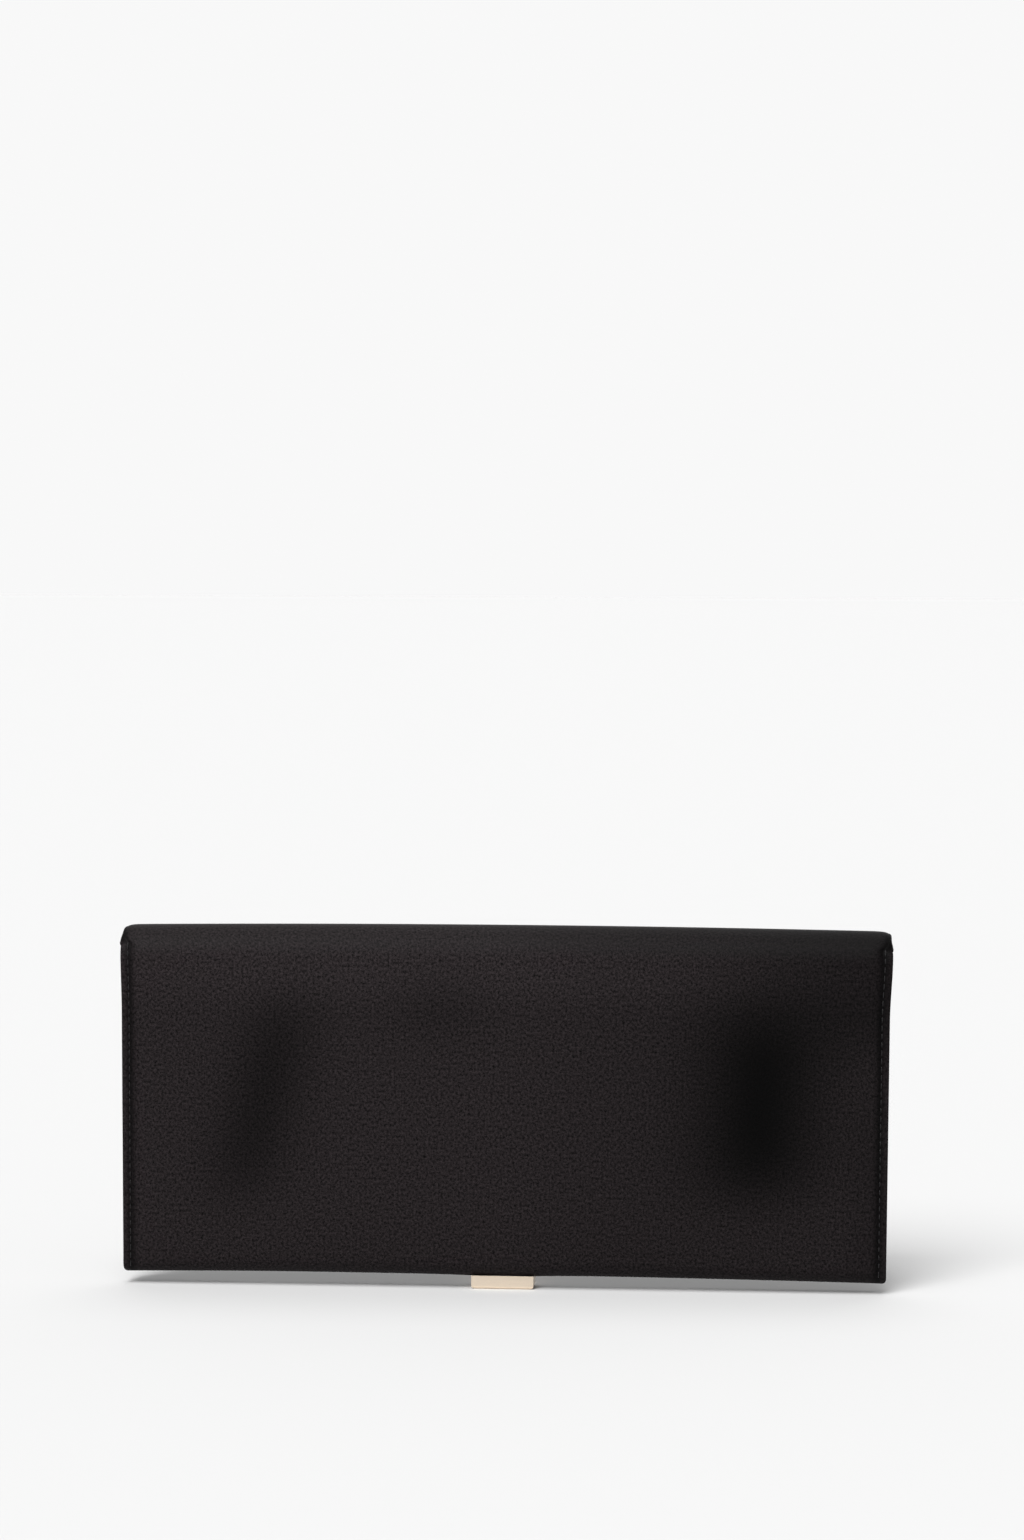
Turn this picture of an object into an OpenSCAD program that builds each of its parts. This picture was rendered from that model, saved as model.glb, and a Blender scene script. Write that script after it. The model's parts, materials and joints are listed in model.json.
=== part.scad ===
// Slim satin clutch purse: a folded pouch with side gussets, a full-length flap over a soft
// top roll, and a metal clasp that caps the bottom edge. +Z is up, the back panel faces -Y,
// the flap is on the +Y side, and the origin is on the floor under the middle of the purse.

/* [Purse] */
// Width across the two seam flanges
body_w = 270; // [225:1:324]
// Height from the underside of the clasp to the top of the roll
body_h = 127; // [105:0.5:153]
// Depth at the top roll
body_d = 22; // [18.3:0.1:26.4]
// Outer radius of the fold along the bottom
fold_r = 4.5; // [3.8:0.1:5.4]
// Height of the pouch's mouth below the top
mouth_drop = 23; // [19:0.5:28]

/* [Cloth and board] */
// Thickness of the satin with its interlining
satin_t = 0.6; // [0.5:0.05:0.75]
// Thickness of the boards and of the wadding in the roll
board_t = 1.2; // [1:0.1:1.5]
// Thickness of the lining
lining_t = 0.5; // [0.4:0.05:0.6]
// Clearance between layers that lie on each other
layer_gap = 0.02; // [0.02:0.01:0.05]
// Clearance between the closed flap and the front panel
flap_gap = 0.5; // [0.4:0.05:0.8]
// Gap at each crease between pieces that fold against each other
crease_gap = 0.4; // [0.3:0.05:0.6]
// How much narrower the flap is than the pouch, at each side
flap_inset = 2.5; // [2:0.1:4]

/* [Side gussets] */
// Width of the seam flange at each side
flange_w = 5; // [4:0.1:6]
// How far the gusset's fold reaches in from the flange
gusset_reach = 9; // [7:0.1:11]
// Clearance between the gusset's front flange and the front panel
gusset_gap = 0.3; // [0.3:0.05:0.5]

/* [Stitching] */
// Distance between stitches
stitch_pitch = 2.9; // [2.4:0.1:3.5]
// Length of one stitch
stitch_l = 2.1; // [1.6:0.1:2.2]
// Width of the thread
thread_w = 0.4; // [0.3:0.05:0.5]
// How far the thread stands proud of the cloth
thread_proud = 0.2; // [0.15:0.05:0.25]
// Distance of the stitch line from the edge
stitch_margin = 2.7; // [2.2:0.1:3.4]

/* [Pocket and facing] */
// Width of the slip pocket inside the back
pocket_w = 120; // [90:1:150]
// Height of the slip pocket
pocket_h = 54; // [45:1:60]
// Height of the satin facing inside the mouth
facing_h = 12; // [9:0.5:15]

/* [Clasp] */
// Width of the clasp
clasp_w = 22; // [18:0.5:27]
// How far the clasp hangs below the bottom fold
clasp_drop = 5; // [4.6:0.1:6]
// Height of the clasp's front plate
clasp_h = 23; // [19:0.5:28]
// Thickness of the clasp's metal
clasp_t = 0.9; // [0.8:0.05:1.1]
// Height of the magnet
magnet_h = 2.0; // [1.6:0.1:2.1]

/* [Hidden] */

// Depths of the layers, measured inwards from the satin's outer face
board_at = satin_t + layer_gap;
board_end = board_at + board_t;
lining_at = board_end + layer_gap;
wall_t = lining_at + lining_t;

// The roll along the top and the fold along the bottom, as circles seen from the side
top_r = body_d / 2 - thread_proud;
back_y = thread_proud - body_d / 2;
top_y = back_y + top_r;
top_z = body_h - top_r;
fold_y = back_y + fold_r;
fold_z = clasp_drop + fold_r;

// The front panel and the flap lean forward together by the angle that keeps flap_gap
// between them: (top_r - fold_r)(1 + cos lean) - (wall_t + flap_gap) = (top_z - fold_z) sin lean
layers = wall_t + flap_gap;
radius_step = top_r - fold_r;
rise = top_z - fold_z;
lean = 2 * atan((sqrt(rise * rise + layers * (2 * radius_step - layers)) - rise) / layers);

// The two creases of the top roll lie at these angles, on the satin's outer face
back_crease = 135;
front_crease = 45;
crease_half = crease_gap / 2 / top_r * 180 / PI;
fold_end = 360 - lean - crease_gap / 2 / fold_r * 180 / PI;
arc_steps = 12;

// Lengths along the front panel from the fold, and down the flap from the roll
front_start = crease_gap / 2;
front_l = (body_h - mouth_drop - fold_z + fold_r * sin(lean)) / cos(lean);
flap_end_z = clasp_drop + 0.3;
flap_l = (top_z - top_r * sin(lean) - flap_end_z) / cos(lean);

// Widths of the layers inside the seam flanges
flap_w = body_w - 2 * flap_inset;
edge_clear = 8;
corner_r = 1.6;
ear_drop = 8;

// Sizes inside the clasp
clasp_corner = 1.2;
lip_gap = 0.3;
lip_y = back_y + 0.4;
magnet_w = clasp_w - 5;
magnet_clear = 0.9;
cover_t = 0.5;
plate_w = clasp_w - 6;
plate_low = 4;
window_clear = 0.3;
rivet_r = 0.9;
rivet_fit = 0.03;
rivet_head_r = 1.6;
rivet_head_t = 0.2;
plate_t = board_t - rivet_head_t - 2 * rivet_fit;
rivet_spread = plate_w / 4;

satin_colour = [0.10, 0.09, 0.095];
lining_colour = [0.22, 0.20, 0.21];
board_colour = [0.62, 0.58, 0.52];
thread_colour = [0.07, 0.06, 0.065];
gold_colour = [0.86, 0.76, 0.62];
steel_colour = [0.66, 0.67, 0.69];

// ---- outlines seen from the side, as points [y, z] ----

function arc(y, z, r, from, to) = [
    for (i = [0:arc_steps])
        let (a = from + (to - from) * i / arc_steps)
        [y + r * cos(a), z + r * sin(a)]
];

function backwards(points) = [for (i = [len(points) - 1:-1:0]) points[i]];

// The pouch from the back crease down the back and round the bottom fold, at depth d
function back_line(d) = concat(
    arc(top_y, top_z, top_r - d, back_crease + crease_half, 180),
    arc(fold_y, fold_z, fold_r - d, 180, fold_end)
);

// A point of the front panel at depth d and at length s up from the fold
function front_at(d, s) = [
    fold_y + (fold_r - d) * cos(lean) + s * sin(lean),
    fold_z - (fold_r - d) * sin(lean) + s * cos(lean)
];

// A point of the flap at depth d and at length s down from the roll
function flap_at(d, s) = [
    top_y + (top_r - d) * cos(lean) - s * sin(lean),
    top_z - (top_r - d) * sin(lean) - s * cos(lean)
];

// The length down the flap at which its outer face is at height z
function flap_s(z) = (top_z - top_r * sin(lean) - z) / cos(lean);

// A flat outline of the side view, drawn out across the purse
module across(width) {
    rotate([90, 0, 90])
        linear_extrude(height = width, center = true)
            children();
}

module band(near, far) {
    polygon(concat(near, backwards(far)));
}

module front_strip(d0, d1, s0, s1) {
    polygon([front_at(d0, s0), front_at(d0, s1), front_at(d1, s1), front_at(d1, s0)]);
}

module flap_strip(d0, d1, s0, s1) {
    polygon([flap_at(d0, s0), flap_at(d0, s1), flap_at(d1, s1), flap_at(d1, s0)]);
}

// A rectangle with round corners, standing in the plane of the back panel
module upright_plate(width, low, high, r) {
    rotate([90, 0, 0])
        linear_extrude(height = 2 * body_d, center = true) {
            translate([-width / 2 + r, low])
                square([width - 2 * r, high - low]);
            translate([-width / 2, low + r])
                square([width, high - low - 2 * r]);
            for (x = [-1, 1], z = [low + r, high - r])
                translate([x * (width / 2 - r), z])
                    circle(r = r, $fn = 32);
        }
}

// ---- pouch ----

// Back half of the satin: from the crease down the back and round the bottom fold,
// wide over the seam flanges and narrower where it runs up into the roll
module back_panel() {
    color(satin_colour)
        intersection() {
            across(body_w)
                band(back_line(0), back_line(satin_t));
            union() {
                upright_plate(body_w, clasp_drop, body_h - ear_drop, corner_r);
                upright_plate(flap_w, clasp_drop, body_h, corner_r);
            }
        }
}

module back_board() {
    color(board_colour)
        translate([-inner_w / 2, back_y + board_at, fold_z])
            cube([inner_w, board_t, top_z - fold_z]);
}

module back_lining() {
    color(lining_colour)
        across(inner_w)
            band(back_line(lining_at), back_line(wall_t));
}

// Flat pocket sewn to the back lining, inside the pouch
pocket_z = fold_z + 18;
pocket_y = back_y + wall_t + layer_gap;
binding_y = pocket_y + lining_t + layer_gap;
binding_h = 4;

module slip_pocket() {
    color(lining_colour)
        translate([-pocket_w / 2, pocket_y, pocket_z])
            cube([pocket_w, lining_t, pocket_h]);
}

module pocket_binding() {
    color(satin_colour)
        translate([-pocket_w / 2, binding_y, pocket_z + pocket_h - binding_h])
            cube([pocket_w, lining_t, binding_h]);
}

// Steel strip bent into the bottom fold, which the clasp's magnet pulls on. It follows the
// same facets as the fold, from one of them to another
strike_w = clasp_w + 8;
strike_t = 0.8;
strike_first = 3;
strike_last = arc_steps - 1;
felt_at = board_at + strike_t + layer_gap;

function fold_part(d) = [
    for (i = [strike_first:strike_last]) arc(fold_y, fold_z, fold_r - d, 180, fold_end)[i]
];

module strike_layer(d0, d1) {
    across(strike_w)
        band(fold_part(d0), fold_part(d1));
}

module strike_plate() {
    color(steel_colour)
        strike_layer(board_at, board_at + strike_t);
}

module strike_felt() {
    color(board_colour)
        strike_layer(felt_at, board_end);
}

// A gusset folds inwards between its two flanges. Its back half is an upright leaf that runs
// from the back flange to the middle plane, which halves the angle between back and front, and
// its front half is the back half mirrored in that plane
gusset_low = fold_z + 1;
gusset_high = body_h - mouth_drop - 1;
gusset_x = body_w / 2 - flange_w;
gusset_back = back_y + board_at;
front_depth = satin_t + gusset_gap;
meet_s = (gusset_back - front_at(front_depth, 0)[0]) / sin(lean);
meet_z = front_at(front_depth, meet_s)[1];
mouth_half = (gusset_high - meet_z) * tan(lean / 2);
leaf_slope = mouth_half / gusset_reach;
leaf_stretch = sqrt(1 + leaf_slope * leaf_slope) / leaf_slope;

// The leaf's inner face at a distance y in from the back, and the lining's inner face on it
function leaf_x(y) = gusset_x - y / leaf_slope;
function leaf_lining_x(y) = leaf_x(y) - (layer_gap + lining_t) * leaf_stretch;

// The boards and the linings between the gussets stop short of the gussets' linings
edge_gap = 0.5;
inner_w = 2 * (leaf_lining_x(wall_t - board_at) - edge_gap);

module mirrored_in_middle_plane() {
    translate([0, gusset_back, meet_z])
        rotate([-lean / 2, 0, 0])
            mirror([0, 1, 0])
                rotate([lean / 2, 0, 0])
                    translate([0, -gusset_back, -meet_z])
                        children();
}

// All that is outside a face of the back leaf, which lies a distance out from its inner face
module outside_leaf(out, start, side, past_end) {
    translate([0, 0, gusset_low - past_end])
        linear_extrude(height = gusset_high - gusset_low + 2 * past_end)
            polygon([
                [leaf_x(start) + out * leaf_stretch, gusset_back + start],
                [side, gusset_back + start],
                [side, gusset_back + body_d],
                [leaf_x(body_d) + out * leaf_stretch, gusset_back + body_d]
            ]);
}

// The space inside the fold, between the same face of both leaves
module inside_fold(out, start, past) {
    intersection() {
        outside_leaf(out, start, body_w / 2 + past, past);
        mirrored_in_middle_plane()
            outside_leaf(out, start, body_w / 2 + 2 * gusset_reach, gusset_reach);
    }
}

module gusset() {
    color(satin_colour)
        difference() {
            inside_fold(0, 0, 0);
            inside_fold(satin_t, satin_t, 1);
        }
}

// Lining on the inner face of the gusset, starting clear of the back panel
module gusset_lining() {
    start = board_t / 2;
    color(lining_colour)
        difference() {
            inside_fold(-layer_gap - lining_t, start, 0);
            inside_fold(-layer_gap, 0, 1);
        }
}

module gusset_left() {
    mirror([1, 0, 0])
        gusset();
}

module gusset_right() {
    gusset();
}

module gusset_lining_left() {
    mirror([1, 0, 0])
        gusset_lining();
}

module gusset_lining_right() {
    gusset_lining();
}

// ---- stitching ----

// The middles of the stitches in a row
function stitch_places(from, to) = [
    for (i = [0:floor((to - from) / stitch_pitch) - 1]) from + stitch_pitch * (i + 0.5)
];

module seam_stitches(side) {
    color(thread_colour)
        for (z = stitch_places(fold_z, body_h - ear_drop - corner_r))
            translate([
                side * (body_w / 2 - stitch_margin) - thread_w / 2,
                back_y - thread_proud,
                z - stitch_l / 2
            ])
                cube([thread_w, thread_proud, stitch_l]);
}

module seam_stitches_left() {
    seam_stitches(-1);
}

module seam_stitches_right() {
    seam_stitches(1);
}

// ---- front ----

turned_s = front_l - satin_t;

// Front half of the satin, turned over the edge of the mouth
module front_panel() {
    color(satin_colour)
        across(body_w)
            polygon([
                front_at(0, front_start),
                front_at(0, front_l),
                front_at(wall_t, front_l),
                front_at(wall_t, turned_s),
                front_at(satin_t, turned_s),
                front_at(satin_t, front_start)
            ]);
}

module front_board() {
    color(board_colour)
        across(inner_w)
            front_strip(board_at, board_end, front_start, turned_s - layer_gap);
}

module front_lining() {
    color(lining_colour)
        across(inner_w)
            front_strip(lining_at, wall_t, front_start, front_l - facing_h);
}

module mouth_facing() {
    color(satin_colour)
        across(inner_w)
            front_strip(
                lining_at, wall_t,
                front_l - facing_h + layer_gap, turned_s - layer_gap
            );
}

module front_stitches() {
    color(thread_colour)
        for (side = [-1, 1], s = stitch_places(edge_clear, turned_s))
            translate([side * (body_w / 2 - stitch_margin), 0, 0])
                across(thread_w)
                    front_strip(-thread_proud, 0, s - stitch_l / 2, s + stitch_l / 2);
}

// ---- top roll ----

module roll_layer(d0, d1) {
    across(flap_w)
        band(
            arc(top_y, top_z, top_r - d0, back_crease - crease_half, front_crease + crease_half),
            arc(top_y, top_z, top_r - d1, back_crease - crease_half, front_crease + crease_half)
        );
}

module spine_satin() {
    color(satin_colour)
        roll_layer(0, satin_t);
}

module spine_wadding() {
    color(board_colour)
        roll_layer(board_at, board_end);
}

module spine_lining() {
    color(lining_colour)
        roll_layer(lining_at, wall_t);
}

// ---- flap ----

function flap_line(d, end) = concat(
    arc(top_y, top_z, top_r - d, front_crease - crease_half, -lean),
    [flap_at(d, end)]
);

flap_turned_s = flap_l - satin_t;
plate_s0 = flap_s(clasp_h - 2);
plate_s1 = flap_s(clasp_drop + plate_low);
rivet_s = (plate_s0 + plate_s1) / 2;

// A round pin through the flap's layers, from depth d0 to depth d1
module through_flap(r, d0, d1) {
    for (x = [-rivet_spread, rivet_spread])
        translate([x, flap_at(d0, rivet_s)[0], flap_at(d0, rivet_s)[1]])
            rotate([90 - lean, 0, 0])
                cylinder(r = r, h = d1 - d0, $fn = 32);
}

// Satin of the flap, turned in over its lower edge, with two holes for the clasp's rivets
module flap_satin() {
    color(satin_colour)
        difference() {
            across(flap_w)
                polygon(concat(
                    flap_line(0, flap_l),
                    [
                        flap_at(wall_t, flap_l),
                        flap_at(wall_t, flap_turned_s),
                        flap_at(satin_t, flap_turned_s)
                    ],
                    backwards(arc(
                        top_y, top_z, top_r - satin_t, front_crease - crease_half, -lean
                    ))
                ));
            through_flap(rivet_r + rivet_fit, -satin_t, 2 * satin_t);
        }
}

module flap_board() {
    color(board_colour)
        difference() {
            across(flap_w - 2 * stitch_margin)
                flap_strip(board_at, board_end, edge_clear, flap_turned_s - layer_gap);
            across(plate_w + 2 * window_clear)
                flap_strip(0, wall_t, plate_s0 - window_clear, plate_s1 + window_clear);
        }
}

module flap_lining() {
    color(lining_colour)
        across(flap_w - stitch_margin)
            band(
                flap_line(lining_at, flap_turned_s - layer_gap),
                flap_line(wall_t, flap_turned_s - layer_gap)
            );
}

// Topstitching down both sides of the flap and along its lower edge, clear of the clasp
module flap_stitches() {
    side_s = stitch_places(0, flap_l - stitch_margin);
    low_x = stitch_places(clasp_w / 2 + 1, flap_w / 2 - stitch_margin);
    low_s = flap_l - stitch_margin;
    color(thread_colour) {
        for (side = [-1, 1], s = side_s)
            translate([side * (flap_w / 2 - stitch_margin), 0, 0])
                across(thread_w)
                    flap_strip(-thread_proud, 0, s - stitch_l / 2, s + stitch_l / 2);
        for (side = [-1, 1], x = low_x)
            translate([side * x, 0, 0])
                across(stitch_l)
                    flap_strip(-thread_proud, 0, low_s - thread_w / 2, low_s + thread_w / 2);
    }
}

// ---- clasp ----

lip_z = clasp_drop - lip_gap;
plate_out = -layer_gap - clasp_t;
floor_front = flap_at(plate_out, flap_s(0));
plate_top = flap_s(clasp_h);

// The metal bent into a channel: front plate, floor under the fold, and lip behind it
module clasp_channel() {
    inner = flap_at(-layer_gap, flap_s(clasp_t));
    polygon(concat(
        [flap_at(plate_out, plate_top), flap_at(plate_out, flap_s(clasp_corner))],
        [[floor_front[0] - clasp_corner, 0]],
        [[lip_y + clasp_corner / 2, 0], [lip_y, clasp_corner / 2]],
        [[lip_y, lip_z], [lip_y + clasp_t, lip_z], [lip_y + clasp_t, clasp_t]],
        [inner, flap_at(-layer_gap, plate_top)]
    ));
}

// One end wall of the channel
module clasp_end() {
    polygon([
        [lip_y + clasp_corner / 2, 0],
        [lip_y, clasp_corner / 2],
        [lip_y, lip_z],
        flap_at(-layer_gap, flap_s(lip_z)),
        flap_at(-layer_gap - clasp_t / 2, flap_s(clasp_corner)),
        [floor_front[0] - clasp_corner, 0]
    ]);
}

module clasp_shell() {
    color(gold_colour)
        difference() {
            intersection() {
                union() {
                    across(clasp_w)
                        clasp_channel();
                    for (side = [-1, 1])
                        translate([side * (clasp_w - clasp_t) / 2, 0, 0])
                            across(clasp_t)
                                clasp_end();
                }
                upright_plate(clasp_w, 0, clasp_h, clasp_corner);
            }
            through_flap(rivet_r + rivet_fit, -clasp_t / 2, satin_t);
        }
}

module clasp_backing_plate() {
    color(steel_colour)
        difference() {
            across(plate_w)
                flap_strip(board_at, board_at + plate_t, plate_s0, plate_s1);
            through_flap(rivet_r + rivet_fit, 0, wall_t);
        }
}

// Two rivets that hold the clasp through the satin to its backing plate
module clasp_rivets() {
    head_at = board_at + plate_t + rivet_fit;
    color(gold_colour) {
        through_flap(rivet_r, rivet_fit - clasp_t / 2, head_at + rivet_head_t);
        through_flap(rivet_head_r, head_at, head_at + rivet_head_t);
    }
}

magnet_back = lip_y + clasp_t + magnet_clear;
magnet_front = flap_at(-layer_gap, flap_s(clasp_t))[0] - magnet_clear;

module clasp_magnet() {
    color(steel_colour)
        translate([-magnet_w / 2, magnet_back, clasp_t])
            cube([magnet_w, magnet_front - magnet_back, magnet_h]);
}

module magnet_cover() {
    color(gold_colour)
        translate([-magnet_w / 2, magnet_back, clasp_t + magnet_h])
            cube([magnet_w, magnet_front - magnet_back, cover_t]);
}

back_panel();
back_board();
back_lining();
slip_pocket();
pocket_binding();
strike_plate();
strike_felt();
gusset_left();
gusset_right();
gusset_lining_left();
gusset_lining_right();
seam_stitches_left();
seam_stitches_right();
front_panel();
front_board();
front_lining();
mouth_facing();
front_stitches();
spine_satin();
spine_wadding();
spine_lining();
flap_satin();
flap_board();
flap_lining();
flap_stitches();
clasp_shell();
clasp_backing_plate();
clasp_rivets();
clasp_magnet();
magnet_cover();
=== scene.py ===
# A slim black satin clutch purse with a pale gold clasp, seen from the back.
import json
import math

import bmesh
import bpy
import numpy as np
from mathutils import Matrix, Vector


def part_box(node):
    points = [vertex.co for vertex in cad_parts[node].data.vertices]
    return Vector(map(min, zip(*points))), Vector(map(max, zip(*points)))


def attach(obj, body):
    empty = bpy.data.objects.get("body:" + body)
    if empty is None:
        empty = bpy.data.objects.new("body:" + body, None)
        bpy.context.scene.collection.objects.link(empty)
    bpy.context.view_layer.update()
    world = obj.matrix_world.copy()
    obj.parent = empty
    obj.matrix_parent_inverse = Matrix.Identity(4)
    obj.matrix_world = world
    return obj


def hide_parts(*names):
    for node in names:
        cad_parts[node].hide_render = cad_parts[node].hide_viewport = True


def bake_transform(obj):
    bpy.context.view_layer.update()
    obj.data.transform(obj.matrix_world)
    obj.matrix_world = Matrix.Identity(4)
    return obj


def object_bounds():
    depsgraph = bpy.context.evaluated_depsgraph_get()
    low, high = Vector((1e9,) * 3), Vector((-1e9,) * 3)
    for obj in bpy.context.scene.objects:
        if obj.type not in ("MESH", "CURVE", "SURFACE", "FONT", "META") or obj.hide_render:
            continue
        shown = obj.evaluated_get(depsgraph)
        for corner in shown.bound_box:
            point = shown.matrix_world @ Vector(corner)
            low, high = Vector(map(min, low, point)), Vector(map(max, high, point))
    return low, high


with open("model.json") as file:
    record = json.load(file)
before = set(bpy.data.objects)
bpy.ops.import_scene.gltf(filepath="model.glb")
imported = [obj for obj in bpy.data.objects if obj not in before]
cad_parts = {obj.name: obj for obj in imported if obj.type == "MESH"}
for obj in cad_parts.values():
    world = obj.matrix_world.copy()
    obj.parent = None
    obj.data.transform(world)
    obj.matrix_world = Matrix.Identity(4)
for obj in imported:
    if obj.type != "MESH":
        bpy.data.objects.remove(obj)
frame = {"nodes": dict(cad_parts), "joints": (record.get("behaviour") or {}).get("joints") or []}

cad_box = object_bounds()

# ---------------------------------------------------------------------------------------------
# Studio. A pale floor that runs back to a pale backdrop, three big soft lights, one overhead, one
# behind and one in front on the camera's left, and a camera with a long lens a little above it.
camera_azimuth = math.radians(4.1)
camera_elevation = math.radians(6.9)
camera_roll = math.radians(0.24)
camera_distance = 1.5135
centre = Vector((0, 0, (cad_box[0][2] + cad_box[1][2]) / 2))

lens = bpy.data.cameras.new("camera")
lens.lens = 100
lens.sensor_width = 36
lens.shift_x = 0.0045
lens.shift_y = 0.219
lens.clip_end = 400
camera = bpy.data.objects.new("camera", lens)
looking = Vector((
    -math.sin(camera_azimuth) * math.cos(camera_elevation),
    math.cos(camera_azimuth) * math.cos(camera_elevation),
    -math.sin(camera_elevation),
))
camera.matrix_world = (
    Matrix.Translation(centre - looking * camera_distance)
    @ looking.to_track_quat("-Z", "Y").to_matrix().to_4x4()
    @ Matrix.Rotation(camera_roll, 4, "Z")
)
bpy.context.scene.collection.objects.link(camera)
bpy.context.scene.camera = camera
bpy.context.scene.view_settings.view_transform = "Standard"

floor_colour = (0.63, 0.63, 0.63, 1)
floor_half = 150
floor_mesh = bpy.data.meshes.new("floor")
floor_mesh.from_pydata(
    [(x * floor_half, y * floor_half, 0) for x, y in ((-1, -1), (1, -1), (1, 1), (-1, 1))],
    [], [(0, 1, 2, 3)]
)
floor = bpy.data.objects.new("floor", floor_mesh)
bpy.context.scene.collection.objects.link(floor)
floor_paint = bpy.data.materials.new("floor paint")
floor_paint.use_nodes = True
floor_paint.node_tree.nodes.clear()
matt = floor_paint.node_tree.nodes.new("ShaderNodeBsdfDiffuse")
matt.inputs["Color"].default_value = floor_colour
floor_out = floor_paint.node_tree.nodes.new("ShaderNodeOutputMaterial")
floor_paint.node_tree.links.new(matt.outputs[0], floor_out.inputs["Surface"])
floor_mesh.materials.append(floor_paint)

# the room: brightest behind the purse, darker on the camera's side
room = bpy.data.worlds.new("room")
room.use_nodes = True
tree = room.node_tree
tree.nodes.clear()
out = tree.nodes.new("ShaderNodeOutputWorld")
glow = tree.nodes.new("ShaderNodeBackground")
ramp = tree.nodes.new("ShaderNodeValToRGB")
direction = tree.nodes.new("ShaderNodeTexCoord")
split = tree.nodes.new("ShaderNodeSeparateXYZ")
tree.links.new(direction.outputs["Generated"], split.inputs[0])
tree.links.new(split.outputs["Y"], ramp.inputs["Fac"])
tree.links.new(ramp.outputs["Color"], glow.inputs["Color"])
tree.links.new(glow.outputs[0], out.inputs["Surface"])
near_wall, far_wall = ramp.color_ramp.elements
near_wall.position = 0.60
near_wall.color = (0.34, 0.34, 0.34, 1)
far_wall.position = 0.95
far_wall.color = (0.94, 0.94, 0.94, 1)
bpy.context.scene.world = room


def soft_sun(name, come_from, spread, strength):
    """A big soft light this many degrees wide, so far off that it lights the floor alike."""
    lamp = bpy.data.lights.new(name, "SUN")
    lamp.energy = strength
    lamp.angle = math.radians(spread)
    holder = bpy.data.objects.new(name, lamp)
    holder.matrix_world = Vector(come_from).to_track_quat("Z", "Y").to_matrix().to_4x4()
    bpy.context.scene.collection.objects.link(holder)


soft_sun("overhead", (-0.10, -0.35, 1.0), spread=30, strength=1.3)
soft_sun("behind", (0.0, 0.38, 1.0), spread=30, strength=0.6)
soft_sun("key", (-0.26, -0.75, 0.75), spread=34, strength=2.52)

# ---------------------------------------------------------------------------------------------
# Bag boards. Grey board stiffens the back, the front and the flap; each is cut square and
# glued to the satin's wrong side, and none of it shows once the linings are in.


class Finish:
    """A material's node tree, with short ways to add nodes and link them."""

    def __init__(self, name, **values):
        self.material = bpy.data.materials.new(name)
        self.material.use_nodes = True
        self.tree = self.material.node_tree
        self.bsdf = self.tree.nodes["Principled BSDF"]
        for entry, value in values.items():
            self.bsdf.inputs[entry.replace("_", " ")].default_value = value

    def node(self, kind, **values):
        made = self.tree.nodes.new("ShaderNode" + kind)
        for name, value in values.items():
            if name in made.inputs:
                made.inputs[name].default_value = value
            else:
                setattr(made, name, value)
        return made

    def link(self, source, output, target, entry):
        self.tree.links.new(source.outputs[output], target.inputs[entry])

    def place(self, scale, cut=False):
        """Where a pattern lies: on the object, or on the cloth's own cut, in metres."""
        source = self.node("UVMap", uv_map="cut") if cut else self.node("TexCoord")
        stretch = self.node("Mapping", Scale=scale)
        self.link(source, "UV" if cut else "Object", stretch, "Vector")
        return stretch

    def noise(self, scale, detail=2.0, cut=False, rough=0.5):
        """A noise with this many turns a metre on each axis."""
        place = self.place(scale, cut)
        made = self.node("TexNoise", Scale=1.0, Detail=detail, Roughness=rough)
        self.link(place, "Vector", made, "Vector")
        return made

    def tint(self, source, dark, light, low=0.3, high=0.7):
        """The colour runs from dark to light as the pattern goes from low to high."""
        made = self.node("ValToRGB")
        made.color_ramp.elements[0].position = low
        made.color_ramp.elements[0].color = (*dark, 1)
        made.color_ramp.elements[1].position = high
        made.color_ramp.elements[1].color = (*light, 1)
        self.link(source, "Fac", made, "Fac")
        self.link(made, "Color", self.bsdf, "Base Color")

    def gloss(self, source, low, high):
        """The roughness follows the pattern between two values."""
        made = self.node("MapRange")
        made.inputs["To Min"].default_value = low
        made.inputs["To Max"].default_value = high
        self.link(source, "Fac", made, "Value")
        self.link(made, "Result", self.bsdf, "Roughness")

    def shade(self, attribute):
        """Paints shade: darkens the colour by as much as the piece's own attribute says."""
        painted = self.bsdf.inputs["Base Color"].links[0].from_socket
        amount = self.node("Attribute", attribute_name=attribute)
        keep = self.node("Math", operation="SUBTRACT")
        keep.inputs[0].default_value = 1.0
        self.link(amount, "Fac", keep, 1)
        darker = self.node("VectorMath", operation="SCALE")
        self.tree.links.new(painted, darker.inputs[0])
        self.link(keep, 0, darker, "Scale")
        self.link(darker, 0, self.bsdf, "Base Color")

    def relief(self, source, output, strength, distance):
        """The pattern stands this far proud, in metres."""
        made = self.node("Bump", Strength=strength, Distance=distance)
        self.link(source, output, made, "Height")
        self.link(made, "Normal", self.bsdf, "Normal")


def dress(nodes, material):
    """Gives pieces that keep their CAD shape their finish."""
    for node in nodes:
        for place in frame["nodes"][node].material_slots:
            place.material = material


def board_finish():
    """Grey board with pressed fibres."""
    f = Finish("grey bag board")
    fibres = f.noise((1400, 1400, 300), 3.0)
    f.tint(fibres, (0.20, 0.18, 0.15), (0.33, 0.30, 0.26))
    f.gloss(fibres, 0.75, 0.9)
    f.relief(fibres, "Fac", 0.3, 0.0001)
    return f.material


dress(("back_board", "front_board", "flap_board"), board_finish())

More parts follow.
